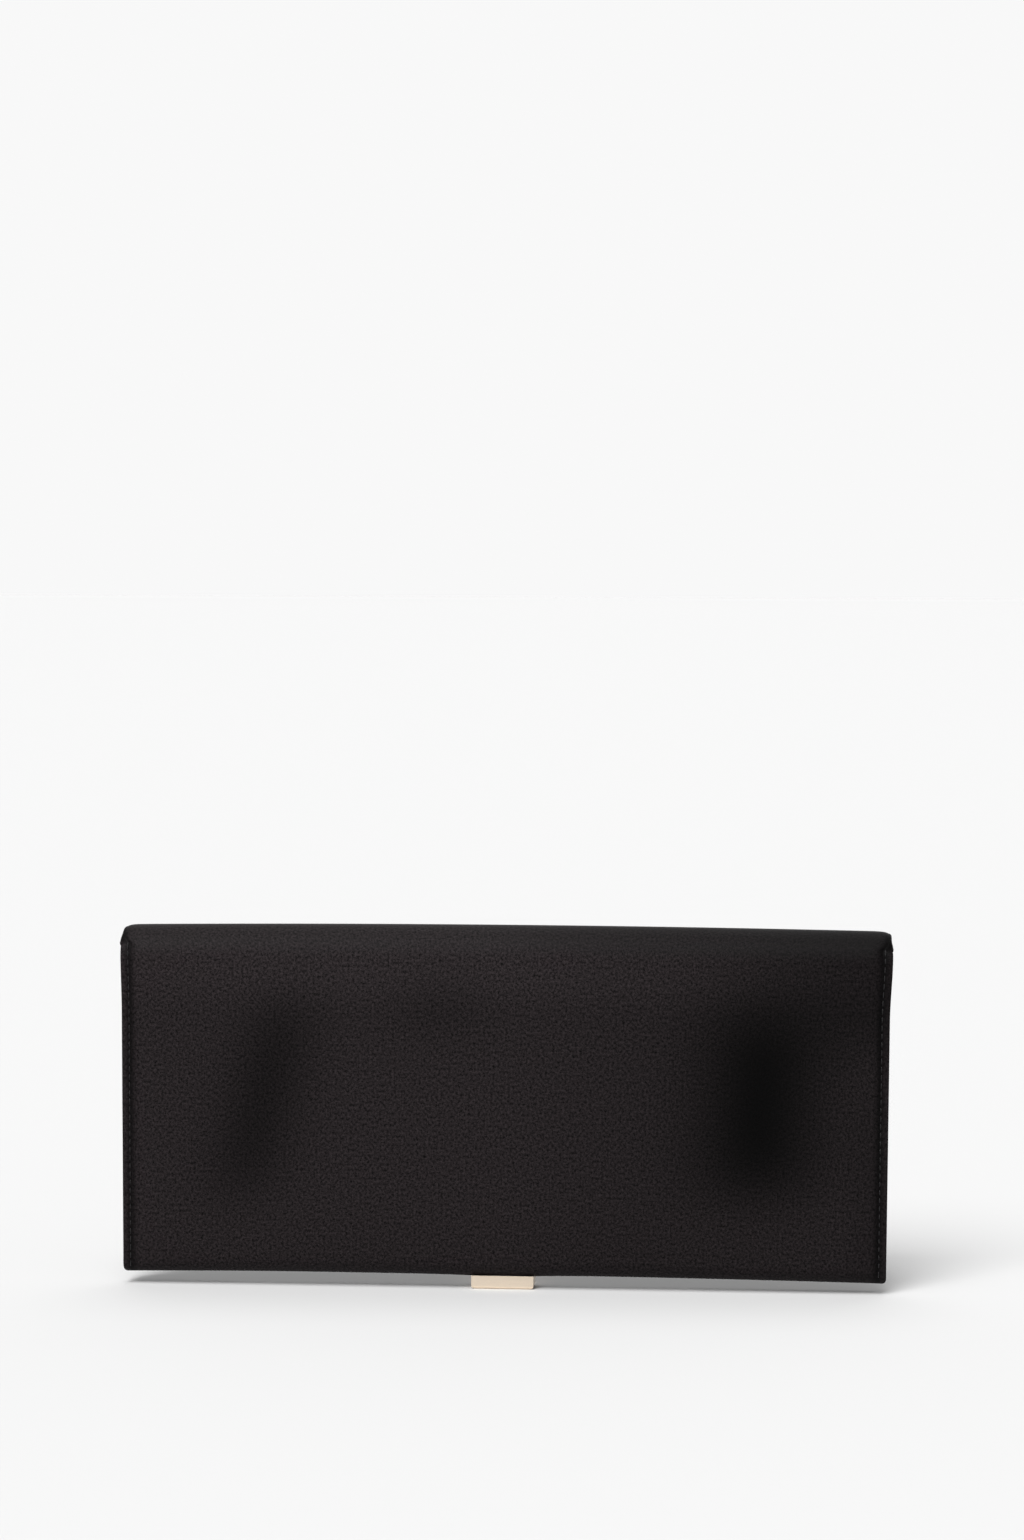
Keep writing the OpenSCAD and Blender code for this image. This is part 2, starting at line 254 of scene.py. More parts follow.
# ---------------------------------------------------------------------------------------------
# Back satin. One long cut of black duchesse satin makes roll, back, fold and front. This piece is
# its run from the roll's crown down to the lowest line of the bottom fold; its sides are
# topstitched to the gussets, and its raw edges curl in where the roll begins.
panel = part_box("back_panel")
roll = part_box("spine_satin")
flap_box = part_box("flap_satin")
front_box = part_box("front_panel")
board_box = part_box("back_board")
hinge = {joint["name"]: joint for joint in frame["joints"]}
half_w = panel[1].x
back_y = panel[0].y
low_z = panel[0].z
top_z = roll[1].z
roll_r = (flap_box[1].y - back_y) / 2
roll_y = back_y + roll_r
roll_z = top_z - roll_r
fold_r = board_box[0].z - low_z
fold_y = back_y + fold_r
fold_z = low_z + fold_r
front_crease = Vector(hinge["mouth_spread"]["pos_m"])
lean = math.atan2(front_box[1].y - front_crease.y, front_box[1].z - front_crease.z)

satin_t = 0.0006
board_at = board_box[0].y - back_y
board_t = board_box[1].y - board_box[0].y
layer_gap = board_at - satin_t
lining_at = board_at + board_t + layer_gap
lining_t = 0.0005
wall_t = lining_at + lining_t

stitch_margin = 0.0027
stitch_pitch = 0.0029
edge_r = wall_t / 2
edge_l = math.pi * edge_r
belly = 0.0009
flap_half = flap_box[1].x
flat_half = flap_half - edge_r
ear_from = top_z - 0.0065


def arc(y, z, r, start, stop, count):
    """Points round a centre in the side view, each with the direction that faces out."""
    t = np.radians(np.linspace(start, stop, count))
    return np.stack([y + r * np.cos(t), z + r * np.sin(t), np.cos(t), np.sin(t)], axis=1)


def straight(first, last, facing, count):
    """Points on a straight run between two others, leaving both of them out."""
    f = np.linspace(0, 1, count)[1:-1, None]
    yz = np.array(first) * (1 - f) + np.array(last) * f
    return np.hstack([yz, np.tile(facing, (len(yz), 1))])


def fine_ends(run):
    """Adds rows close to both ends of a run, so that two cloths that meet there shade alike."""
    near = np.array([0.02, 0.08, 0.25])[:, None]
    first = run[0] * (1 - near) + run[1] * near
    last = run[-1] * (1 - near) + run[-2] * near
    return np.vstack([run[:1], first, run[1:-1], last[::-1], run[-1:]])


def back_run(depth=0.0, rows=150):
    """Side view of the back: from the crown, down the back, to the lowest line of the fold."""
    top = arc(roll_y, roll_z, roll_r - depth, 90, 180, rows // 6)
    low = arc(fold_y, fold_z, fold_r - depth, 180, 270, rows // 10)
    middle = straight(top[-1, :2], low[0, :2], (-1, 0), rows)
    return fine_ends(np.vstack([top, middle, low]))


def smooth(t):
    """An even change from nought to one."""
    t = np.clip(t, 0, 1)
    return t * t * (3 - 2 * t)


def bell(t):
    """One in the middle, fading to nought on both sides."""
    return np.exp(-t * t)


def settle(x, z):
    """The purse arches by a millimetre across its width, the clasp's weight draws the bottom
    fold down a little, and the fold rides up towards its left end."""
    near_fold = smooth((low_z + 0.02 - z) / 0.02)
    arch = 0.0011 * (1 - (x / half_w) ** 2) - 0.0006
    left_rise = 0.0005 * smooth((-x - 0.02) / 0.08)
    clasp_sag = 0.0006 * bell(x / 0.017)
    return arch + near_fold * (left_rise - clasp_sag)


def ripples(x, z, size):
    """Slow unevenness of hand-pulled cloth: crossed waves, each with its turn in radians a metre
    across and up, and where it starts."""
    waves = (
        (31, 17, 0.3), (-22, 41, 1.7), (57, -23, 2.9),
        (12, 73, 4.1), (83, 29, 5.3), (-64, 67, 0.9),
    )
    return size * sum(np.sin(across * x + up * z + start) for across, up, start in waves) / 4


def seam_dip(edge, along, depth=0.00055):
    """The stitch line pulls the cloth in, deepest at each stitch's ends."""
    pulled = 0.72 + 0.28 * np.cos(2 * np.pi * along / stitch_pitch)
    groove = -depth * pulled * bell((edge - stitch_margin) / 0.0008)
    flange_drop = 0.00022 * smooth((stitch_margin - edge) / 0.002)
    return groove - flange_drop


def cushion(edge, size, reach):
    """The cloth stands up from its stitch line, quickly at first."""
    return size * (1 - np.exp(-np.clip(edge - stitch_margin, 0, 1) / reach))


def rounded_edge(edge):
    """A folded edge's small roundness."""
    short = np.clip(1 - edge / satin_t, 0, 1)
    return -0.8 * satin_t * (1 - np.sqrt(1 - short**2))


def near_roll(z):
    """Nought on the flat of a panel, one on the roll."""
    return smooth((z - roll_z + 0.018) / 0.027)


def roll_puff(x):
    """How far both satins stand out along the crown of the roll, where they meet."""
    return cushion(flat_half + stitch_margin - np.abs(x), size=0.0007, reach=0.0012)


def fold_puff(h, z):
    """Both satins stand out alike along the lowest line of the fold, where they meet."""
    stand = 0.0009
    reach = 0.005
    return h + (stand - h) * smooth((low_z + reach - z) / reach)


def fullness(z, low):
    """A panel is fullest half way up, and flat at its foot and its top."""
    up = np.clip((z - low) / (top_z - low), 0, 1)
    return np.sin(np.pi * np.clip(up * 1.02, 0, 1)) ** 0.6


def patch(x, z, at, up, wide, tall, slant=0):
    """A soft patch of the cloth, centred at a place across and up, that may slant."""
    return bell((x - at - slant * (z - up)) / wide) * bell((z - up) / tall)


def flat_columns(half, edge=0.014, fine=0.0004, coarse=0.0022):
    """Places across a panel, close together near its sides."""
    very_edge = [0, 0.00005, 0.00015, 0.0003]
    side = np.concatenate([very_edge, np.arange(0.0005, edge, fine)])
    inner = np.linspace(-half + edge, half - edge, int(2 * (half - edge) / coarse))
    return np.concatenate([-half + side, inner, (half - side)[::-1]])


def back_puff(x, z, row):
    """How far the back's satin stands out from its flat panel."""
    edge = half_w - np.abs(x)
    full = fullness(z, low_z)
    middle = smooth((x + 0.104) / 0.022) * (1 - smooth((x - 0.080) / 0.024))
    h = seam_dip(edge, z) + cushion(edge, size=0.0010, reach=0.0045)
    h += belly * full * (1 - (x / half_w) ** 2)
    h += belly * middle * full
    h -= 0.0008 * patch(x, z, at=-0.089, up=0.060, wide=0.012, tall=0.036, slant=0.10)
    h -= 0.0010 * patch(x, z, at=0.0903, up=0.066, wide=0.016, tall=0.036, slant=0.05)
    h += 0.0003 * patch(x, z, at=0.114, up=0.026, wide=0.014, tall=0.020)
    h -= 0.0002 * patch(x, z, at=-0.019, up=0.098, wide=0.018, tall=0.014)
    h += ripples(x, z, size=0.00007) * smooth((edge - stitch_margin) / 0.02)
    h += (roll_puff(x) - h) * near_roll(z)
    return fold_puff(h, z) + rounded_edge(edge)


def foot_corner(x, z):
    """How much narrower the bottom fold gets towards its lowest line."""
    round_w = 0.0010
    round_h = 0.0012
    reach = 0.012
    foot = np.clip((low_z + round_h - z) / round_h, 0, 1)
    near_side = smooth((np.abs(x) - (half_w - reach)) / reach)
    return np.sign(x) * round_w * (1 - np.sqrt(np.clip(1 - foot**2, 0, 1))) * near_side


def ear_curl(run):
    """The seam flange is flat up to a soft ear, above which its raw side curls right in."""
    return np.pi * smooth((run[:, 1] - ear_from) / 0.0055)


def lay(xs, run, puff, depth, curl=None, curl_r=None, narrow=None, free=None):
    """A grid of points this deep in a cloth: a side view drawn out across the purse, puffed out
    by puff(x, z, row), with its two margins curled through an angle for each row. It widens a
    little towards the roll, and a piece with a free edge settles less near that edge."""
    x, y = np.meshgrid(xs, run[:, 0])
    z, ny, nz = (np.meshgrid(xs, run[:, i])[1] for i in (1, 2, 3))
    row = np.meshgrid(xs, np.linspace(0, 1, len(run)))[1]
    h = puff(x, z, row)
    turn = np.zeros_like(x)
    widest = 0.0025 + 0.0035 * smooth(x / half_w)
    flare = widest * smooth((z - top_z + 0.03) / 0.022)
    across, deep = x.copy(), np.zeros_like(x)
    if curl is not None:
        whole = np.maximum(curl, 1e-4)[:, None]
        r = curl_r or edge_l / whole
        turn = whole * np.clip(np.abs(x) - flat_half, 0, 1) / edge_l
        across = np.sign(x) * (np.minimum(np.abs(x), flat_half) + r * np.sin(turn))
        deep = r * (1 - np.cos(turn))
        ear_flare = 0.0215 * smooth((z - ear_from + 0.0005) / 0.0045)
        flare = np.maximum(flare, ear_flare)
    if narrow is not None:
        across = across - narrow(x, z)
    across = across * (1 + flare)
    loose = 1 if free is None else smooth(np.abs(z - free) / 0.08)
    out = np.cos(turn)
    aside = np.sign(x) * np.sin(turn)
    h = h - depth
    return np.stack([
        across + aside * h,
        y + ny * (out * h - deep),
        z + nz * (out * h - deep) + settle(x, z) * loose,
    ], axis=-1)


def closed_sheet(name, sides):
    """A closed cloth from its outer and inner grids of points, with the cut's own UV in metres."""
    outer, (rows, cols) = sides[0], sides[0].shape[:2]
    mesh, bm = bpy.data.meshes.new(name), bmesh.new()
    uv = bm.loops.layers.uv.new("cut")
    top, under = ([[bm.verts.new(p) for p in row] for row in side] for side in sides)
    down = np.linalg.norm(np.diff(outer[:, cols // 2], axis=0), axis=1)
    along = np.linalg.norm(np.diff(outer[rows // 2], axis=0), axis=1)
    v = np.concatenate([[0], np.cumsum(down)])
    u = np.concatenate([[0], np.cumsum(along)]) - along.sum() / 2
    place = {
        side[i][j]: (u[j], v[i])
        for side in (top, under) for i in range(rows) for j in range(cols)
    }

    def face(*corners):
        made = bm.faces.new(corners)
        for loop in made.loops:
            loop[uv].uv = place[loop.vert]

    for i in range(rows - 1):
        for j in range(cols - 1):
            face(top[i][j], top[i][j + 1], top[i + 1][j + 1], top[i + 1][j])
            face(under[i][j], under[i + 1][j], under[i + 1][j + 1], under[i][j + 1])
    for j in range(cols - 1):
        face(top[0][j + 1], top[0][j], under[0][j], under[0][j + 1])
        face(top[-1][j], top[-1][j + 1], under[-1][j + 1], under[-1][j])
    for i in range(rows - 1):
        face(top[i][0], top[i + 1][0], under[i + 1][0], under[i][0])
        face(top[i + 1][-1], top[i][-1], under[i][-1], under[i + 1][-1])
    bmesh.ops.recalc_face_normals(bm, faces=bm.faces)
    bm.to_mesh(mesh)
    bm.free()
    mesh.shade_smooth()
    mesh.set_sharp_from_angle(angle=math.radians(50))
    made = bpy.data.objects.new(name, mesh)
    bpy.context.scene.collection.objects.link(made)
    return made


def cloth(name, finish, slot, xs, run, puff, thick, replaces, painted_shade=None, **shape):
    """A sheet of cloth laid along a side view, with its finish and what it stands for. Its map of
    painted shade says how much darker its colour is made from place to place."""
    sides = [lay(xs, run, puff, depth, **shape) for depth in (0, thick)]
    made = closed_sheet(name, sides)
    # painted shade: a darkening of the colour at each point, stored on the cloth
    if painted_shade is not None:
        dark = painted_shade(*np.meshgrid(xs, run[:, 1])).ravel()
        field = made.data.attributes.new("painted_shade", "FLOAT", "POINT")
        field.data.foreach_set("value", np.tile(dark, 2).astype(np.float32))
    made.data.materials.append(finish)
    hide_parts(*replaces)
    return made


def satin_finish(name, colour, roughness):
    """Satin: close floats of thread along the cut, under a fine uneven grain."""
    f = Finish(
        name, Specular_IOR_Level=0.05, Sheen_Weight=0.02, Sheen_Roughness=0.4,
        Sheen_Tint=(1.0, 0.90, 0.93, 1)
    )
    floats = f.noise((1150, 1000, 1), 4.0, True, 0.85)
    f.tint(floats, [c * 0.05 for c in colour], [c * 2.3 for c in colour], 0.38, 0.64)
    # painted shade: the cloth's own painted-shade attribute darkens its colour
    f.shade("painted_shade")
    f.gloss(f.noise((26, 34, 1), 2.0, True), roughness - 0.04, roughness + 0.05)
    f.relief(floats, "Fac", 0.5, 0.00012)
    return f.material


black_satin = satin_finish("black satin", (0.0150, 0.0120, 0.0128), 0.50)
raw_edge = edge_l - np.array([0.00015, 0.00005, 0])
margin = np.concatenate([np.linspace(0, edge_l, 13)[:-1], raw_edge])
satin_columns = flat_columns(flat_half)
satin_columns = satin_columns[np.abs(satin_columns) < flat_half - 0.0002]
satin_columns = np.concatenate([-flat_half - margin[::-1], satin_columns, flat_half + margin])


def back_painted_shade(x, z):
    """Painted shade: how much darker the colour is made in the seams' grooves, two upright hollows
    and a small dip, towards the right and low down, over the roll and over the face below it."""
    tall = bell(((z - 0.067) / 0.036) ** 2)
    groove = 0.75 * bell((half_w - np.abs(x) - stitch_margin - 0.0004) / 0.0016)
    left_hollow = 0.60 * bell((x + 0.0853 - 0.24 * (z - 0.065)) / 0.015) * tall
    right_hollow = 0.95 * bell((x - 0.0903 - 0.05 * (z - 0.065)) / 0.025) * tall
    small_dip = 0.24 * patch(x, z, at=-0.022, up=0.099, wide=0.020, tall=0.012)
    top_right = 0.54 * smooth((x - 0.045) / 0.085) * smooth((z - 0.070) / 0.035)
    right_and_low = 0.15 * smooth((x + 0.01) / 0.06) + 0.08 * smooth((0.03 - z) / 0.03)
    right_side = 0.18 * smooth((x - 0.116) / 0.012) * smooth((0.085 - z) / 0.03)
    over_roll = (0.30 + 0.18 * smooth((x + 0.03) / 0.08)) * smooth((z - roll_z) / 0.0055)
    panel_face = 0.20 * smooth((roll_z - 0.003 - z) / 0.018)
    darker = (
        groove, left_hollow, right_hollow, top_right, small_dip,
        right_and_low, right_side, over_roll, panel_face,
    )
    return 1 - np.prod([1 - share for share in darker], axis=0)


back_line = back_run()
back_shape = {"curl": ear_curl(back_line), "narrow": foot_corner}
# the back satin carries painted shade: darker grooves, hollows, right side, low part and roll
back_satin = cloth(
    "back_satin", black_satin, "satin", satin_columns, back_line, back_puff, satin_t,
    ("back_panel", "spine_satin"), painted_shade=back_painted_shade, **back_shape
)
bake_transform(back_satin)

# ---------------------------------------------------------------------------------------------
# Back lining. Charcoal grosgrain, cut narrower than the satin; it lies on the board, is caught
# to the satin along the seam above the gussets, and goes on up inside the roll.
gusset_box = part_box("gusset_right")
inner_half = board_box[1].x
lining_half = flat_half - 0.00015


def lining_finish():
    """Grosgrain: ribs across the cut, under a fine grain of threads."""
    f = Finish("charcoal grosgrain", Specular_IOR_Level=0.3, Sheen_Weight=0.15)
    ribs = f.node("TexWave", Scale=1.0, wave_type="BANDS", bands_direction="Y")
    f.link(f.place((1, 1100, 1), True), "Vector", ribs, "Vector")
    threads = f.noise((2600, 700, 1), 2.0, True)
    f.tint(threads, (0.016, 0.014, 0.015), (0.035, 0.032, 0.033))
    f.gloss(threads, 0.55, 0.7)
    f.relief(ribs, "Fac", 0.5, 0.0001)
    return f.material


charcoal = lining_finish()


def lining_spread(inner):
    """Across: the lining widens from between the gussets to the width of the roll."""
    def narrow(x, z):
        widen = smooth((z - gusset_box[1].z) / 0.012)
        return x * (1 - inner / lining_half) * (1 - widen)
    return narrow


def back_lining_puff(x, z, row):
    """Above the gussets the lining's sides are caught down to the satin."""
    side = smooth((np.abs(x) - inner_half) / 0.003)
    caught = smooth((z - gusset_box[1].z - 0.001) / 0.008) * smooth((roll_z + 0.008 - z) / 0.010)
    return (lining_at - satin_t - 4 * layer_gap) * side * caught + 0.3 * ripples(x, z, layer_gap)


lining_columns = flat_columns(lining_half)
back_lining = cloth(
    "back_lining_cloth", charcoal, "lining", lining_columns, back_run(lining_at, 110),
    back_lining_puff, lining_t, ("back_lining", "spine_lining"), narrow=lining_spread(inner_half)
)
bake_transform(back_lining)

# ---------------------------------------------------------------------------------------------
# Roll wadding. A strip of soft felt takes the board's place inside the roll, so that it bends
# in a full curve; it lies between the satin and the lining and its edges never show.


def felt_finish(name, dark, light):
    """Felt: matted hairs that lie every way."""
    f = Finish(name, Sheen_Weight=0.3)
    hairs = f.noise((900, 900, 900), 4.0, False, 0.7)
    f.tint(hairs, dark, light)
    f.gloss(hairs, 0.85, 0.95)
    f.relief(hairs, "Fac", 0.6, 0.0002)
    return f.material


wadding_half = flat_half - 0.0002
wadding_clear = 0.0004


def flat_puff(x, z, row):
    """For a cloth that lies flat."""
    return np.zeros_like(x)


def wadding_line(depth, rows=40):
    """The strip covers the upper quarter of the roll, clear of what lies on either side."""
    crease = 45 + math.degrees(wadding_clear / roll_r)
    return arc(roll_y, roll_z, roll_r - depth, crease, 180 - crease, rows)


soft_grey = felt_finish("soft grey felt", (0.12, 0.115, 0.11), (0.24, 0.23, 0.22))
wadding_columns = flat_columns(wadding_half, coarse=0.006)
wadding = cloth(
    "roll_wadding", soft_grey, "felt", wadding_columns, wadding_line(board_at), flat_puff,
    board_t, ("spine_wadding",)
)
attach(wadding, "spine")
dress(("strike_felt",), soft_grey)

# ---------------------------------------------------------------------------------------------
# Slip pocket. A patch of the same grosgrain on the back lining, edge-stitched round three
# sides, with a satin binding along its open top, which stands a little away from the lining.
pocket_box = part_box("slip_pocket")
binding_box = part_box("pocket_binding")
pocket_half = pocket_box[1].x
pocket_h = pocket_box[1].z - pocket_box[0].z
pocket_gape = 0.0011
pocket_corner = 0.006


def pocket_line(y, low, high, rows):
    """Side view of the pocket, from its open top down."""
    line = straight((y, high), (y, low), (1, 0), rows)
    return np.vstack([[[y, high, 1, 0]], line, [[y, low, 1, 0]]])


def pocket_puff(x, z, row):
    """The open top stands away from the lining in the middle; the stitched sides lie on it."""
    up = np.clip((z - pocket_box[0].z) / pocket_h, 0, 1)
    spread = 1 - (np.clip(np.abs(x) / pocket_half, 0, 1)) ** 2
    return lining_t + pocket_gape * smooth(spread * 1.4) * up**3 + 0.0001 * spread


def pocket_corners(x, z):
    """How much its two lower corners are cut round."""
    low = np.clip((pocket_box[0].z + pocket_corner - z) / pocket_corner, 0, 1)
    cut_in = pocket_corner * (1 - np.sqrt(1 - low**2))
    return np.sign(x) * cut_in * (np.abs(x) / pocket_half) ** 8


pocket_columns = flat_columns(pocket_half, 0.008)
pocket = cloth(
    "slip_pocket_cloth", charcoal, "lining", pocket_columns,
    pocket_line(pocket_box[0].y, pocket_box[0].z, pocket_box[1].z, 60), pocket_puff, lining_t,
    ("slip_pocket",), narrow=pocket_corners
)
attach(pocket, "pouch")

binding_t = 0.0003
binding_round = 0.0003
binding_proud = 0.0002


def binding_puff(x, z, row):
    """Rounded over the pocket's edge, and proud of it."""
    ring = np.sin(np.pi * np.clip(row, 0, 1)) ** 0.5
    return pocket_puff(x, z, row) + layer_gap + binding_round * ring


binding_line = pocket_line(pocket_box[0].y, binding_box[0].z, pocket_box[1].z + binding_proud, 14)
binding = cloth(
    "pocket_binding_satin", black_satin, "satin", pocket_columns, binding_line, binding_puff,
    binding_t, ("pocket_binding",)
)
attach(binding, "pouch")

# ---------------------------------------------------------------------------------------------
# Gussets. A satin strip at each side with a charcoal lining, stitched by its two flanges to the
# back and the front, and creased so that it folds inwards; the creases are soft, not pressed.
gusset_back = gusset_box[0].y
flange_w = 0.005
flange_in = 0.0004
lining_skip = flange_w + 0.0006
leaf_fold = half_w - flange_w
front_clear = satin_t + 0.0003
middle_lean = lean / 2
front_face = fold_y * math.cos(lean) - fold_z * math.sin(lean) + fold_r - front_clear
meet_z = (gusset_back * math.cos(lean) - front_face) / math.sin(lean)
leaf_slope = (gusset_box[1].z - meet_z) * math.tan(middle_lean) / (leaf_fold - gusset_box[0].x)
middle_out = np.array([0, math.cos(middle_lean), -math.sin(middle_lean)])
middle_point = np.array([0, gusset_back, meet_z])
crease_soft = 0.0009


def gusset_line(s, z, flange):
    """A point at length s round the gusset's sharp fold, mirrored past its middle."""
    half_depth = (z - meet_z) * math.tan(middle_lean)
    leaf = half_depth * math.hypot(1, 1 / leaf_slope)
    whole = flange + leaf
    back = np.minimum(s, 2 * whole - s)
    on_leaf = np.clip(back - flange, 0, None) / leaf
    x = leaf_fold + flange - np.minimum(back, flange) - on_leaf * half_depth / leaf_slope
    points = np.stack([x, gusset_back + on_leaf * half_depth, z + 0 * x], axis=-1)
    past = (s > whole)[..., None]
    away = ((points - middle_point) @ middle_out)[..., None]
    return np.where(past, points - 2 * away * middle_out, points), whole


def gusset_sheet(side, skip, depths, rows=70, cols=61):
    """Grids of both faces of a cloth laid round the fold, its creases softened."""
    z = np.linspace(gusset_box[0].z, gusset_box[1].z, rows)[:, None] * np.ones(cols)
    flange = flange_w - flange_in
    whole = gusset_line(np.zeros_like(z), z, flange)[1]
    s = skip + (2 * whole - 2 * skip) * np.linspace(0, 1, cols)
    weights = np.bartlett(17)[1:-1]
    weights = weights / weights.sum()
    steps = np.linspace(-crease_soft, crease_soft, len(weights))
    points = sum(
        weight * gusset_line(s + step, z, flange)[0] for weight, step in zip(weights, steps)
    )
    sag = 0.0005 * np.sin(np.pi * np.clip((s - flange) / (2 * (whole - flange)), 0, 1))
    points[..., 0] -= sag * (1 + 0.5 * np.sin(z * 90 + s * 300))
    normal = np.cross(np.gradient(points, axis=0), np.gradient(points, axis=1))
    normal /= np.linalg.norm(normal, axis=-1, keepdims=True)
    faces = [points + normal * d for d in depths]
    if faces[1][rows // 2, 2, 1] < faces[0][rows // 2, 2, 1] and depths[1] > 0:
        faces = [points - normal * d for d in depths]
    return [face * np.array([side, 1, 1]) for face in faces]


for side, which in ((-1, "left"), (1, "right")):
    satin_part = closed_sheet("gusset_satin_" + which, gusset_sheet(side, 0, (0, satin_t)))
    satin_part.data.materials.append(black_satin)
    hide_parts("gusset_" + which)
    lining_part = closed_sheet(
        "gusset_lining_cloth_" + which,
        gusset_sheet(side, lining_skip, (-layer_gap, -layer_gap - lining_t), cols=41)
    )
    lining_part.data.materials.append(charcoal)
    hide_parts("gusset_lining_" + which)
    for part in (satin_part, lining_part):
        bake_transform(part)

# ---------------------------------------------------------------------------------------------
# Front satin. From the lowest line of the bottom fold the cut goes on up the front to the
# mouth, where it is turned over the board's edge and finished inside with a satin facing above
# the front's own grosgrain lining.
mouth_z = front_box[1].z
front_out = (math.cos(lean), -math.sin(lean))
front_up = (math.sin(lean), math.cos(lean))
front_l = (mouth_z - fold_z + fold_r * math.sin(lean)) / math.cos(lean)
facing_h = 0.012


def front_at(depth, along):
    """A point of the front in the side view, this deep in it and this far up from the fold."""
    r = fold_r - depth
    y = fold_y + r * front_out[0] + along * front_up[0]
    z = fold_z + r * front_out[1] + along * front_up[1]
    return (y, z)


def front_run(depth, along, rows=110):
    """Side view of the front: from the lowest line of the fold up to a place on it."""
    low = arc(fold_y, fold_z, fold_r - depth, 270, 360 - math.degrees(lean), 13)
    end = front_at(depth, along)
    up = straight(low[-1, :2], end, front_out, rows)
    return fine_ends(np.vstack([low, up, [[*end, *front_out]]]))


def front_strip(depth, first, last, rows):
    """Side view of a strip that lies on the front only."""
    ends = [front_at(depth, first), front_at(depth, last)]
    middle = straight(*ends, front_out, rows)
    return np.vstack([[[*ends[0], *front_out]], middle, [[*ends[1], *front_out]]])


def front_puff(x, z, row):
    """The front is pulled flatter than the back."""
    edge = half_w - np.abs(x)
    h = 0.8 * seam_dip(edge, z) + cushion(edge, size=0.00018, reach=0.006)
    return fold_puff(h, z) + rounded_edge(edge)


mouth = (*front_at(edge_r, front_l - edge_r), edge_r)
mouth_turn = arc(*mouth, -math.degrees(lean), 180 - math.degrees(lean), 15)
front_line = np.vstack([front_run(0, front_l - edge_r), mouth_turn[1:]])
front_satin = cloth(
    "front_satin", black_satin, "satin", flat_columns(half_w), front_line, front_puff, satin_t,
    ("front_panel",), narrow=foot_corner, free=mouth_z
)
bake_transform(front_satin)

front_columns = flat_columns(inner_half)
front_lining = cloth(
    "front_lining_cloth", charcoal, "lining", front_columns,
    front_run(lining_at, front_l - facing_h), flat_puff, lining_t, ("front_lining",), free=mouth_z
)
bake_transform(front_lining)


def facing_puff(x, z, row):
    """Its folded lower edge lies over the top of the lining."""
    return -0.0002 * np.sin(np.pi * np.clip(row, 0, 1))


facing = cloth(
    "mouth_facing_satin", black_satin, "satin", front_columns,
    front_strip(lining_at, front_l - facing_h + layer_gap, front_l - edge_r - layer_gap, 24),
    facing_puff, lining_t, ("mouth_facing",), free=mouth_z
)
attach(facing, "front")

# ---------------------------------------------------------------------------------------------
# Flap satin. The same black satin runs on over the roll and down the far side as the flap, with
# its sides and lower edge turned in and topstitched; it is narrower than the pouch, and lined
# right up to the turned edges.
flap_low = flap_box[0].z
flap_l = (roll_z - roll_r * math.sin(lean) - flap_low) / math.cos(lean)
clasp_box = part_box("clasp_shell")


def flap_at(depth, along):
    """A point of the flap in the side view, this deep in it and this far down from the roll."""
    r = roll_r - depth
    y = roll_y + r * front_out[0] - along * front_up[0]
    z = roll_z + r * front_out[1] - along * front_up[1]
    return (y, z)


def flap_run(depth, along, rows=150):
    """Side view of the flap: over the roll and down, parallel to the front."""
    top = arc(roll_y, roll_z, roll_r - depth, 90, -math.degrees(lean), rows // 6)
    end = flap_at(depth, along)
    down = straight(top[-1, :2], end, front_out, rows)
    return fine_ends(np.vstack([top, down, [[*end, *front_out]]]))


def clasp_press(x, z):
    """One where the clasp's front plate holds the flap flat."""
    reach = 0.002
    beside = smooth((clasp_box[1].x + reach - np.abs(x)) / 0.0015)
    above = smooth((clasp_box[1].z + reach - z) / reach)
    return beside * above


def flap_puff(x, z, row):
    """How far the flap's satin stands out between its stitched sides and hem."""
    edge = flap_half - np.abs(x)
    foot = z - flap_low
    h = seam_dip(edge, z) + cushion(edge, size=0.0006, reach=0.0045) * smooth(foot / 0.01)
    h += seam_dip(foot, x) * smooth((edge - 0.002) / 0.002)
    h += belly * fullness(z, flap_low) * (1 - (x / half_w) ** 2)
    h += ripples(x + 0.4, z, size=0.00009) * smooth(np.minimum(edge, foot) / 0.02)
    h = h * (1 - clasp_press(x, z))
    h += (roll_puff(x) - h) * near_roll(z)
    return h + rounded_edge(half_w - np.abs(x))


hem = (*flap_at(edge_r, flap_l - edge_r), edge_r)
hem_turn = arc(*hem, -math.degrees(lean), -180 - math.degrees(lean), 15)
flap_line = np.vstack([flap_run(0, flap_l - edge_r), hem_turn[1:]])
past_hem = np.clip((np.arange(len(flap_line)) - (len(flap_line) - len(hem_turn))) / 7, 0, 1)
flap_shape = {"curl": np.pi * (1 - 0.5 * past_hem), "curl_r": edge_r, "free": flap_low}
flap_cover = cloth(
    "flap_cover", black_satin, "satin", satin_columns, flap_line, flap_puff, satin_t,
    ("flap_satin",), **flap_shape
)
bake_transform(flap_cover)

flap_lining = cloth(
    "flap_lining_cloth", charcoal, "lining", lining_columns,
    flap_run(lining_at, flap_l - edge_r - layer_gap, 110), flat_puff, lining_t, ("flap_lining",),
    free=flap_low
)
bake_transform(flap_lining)

# ---------------------------------------------------------------------------------------------
# Stitching. Black polyester topstitches of one length, sunk into the grooves they pull: down
# both side seams, back and front, down the flap's sides and along its hem, and round the pocket.


def thread_finish():
    """Spun thread with a little gloss."""
    f = Finish("black thread", Specular_IOR_Level=0.25, Sheen_Weight=0.1)
    twist = f.noise((4200, 4200, 1500), 2.0)
    f.tint(twist, (0.003, 0.0028, 0.003), (0.010, 0.0095, 0.010))
    f.gloss(twist, 0.4, 0.6)
    f.relief(twist, "Fac", 0.5, 0.0001)
    return f.material


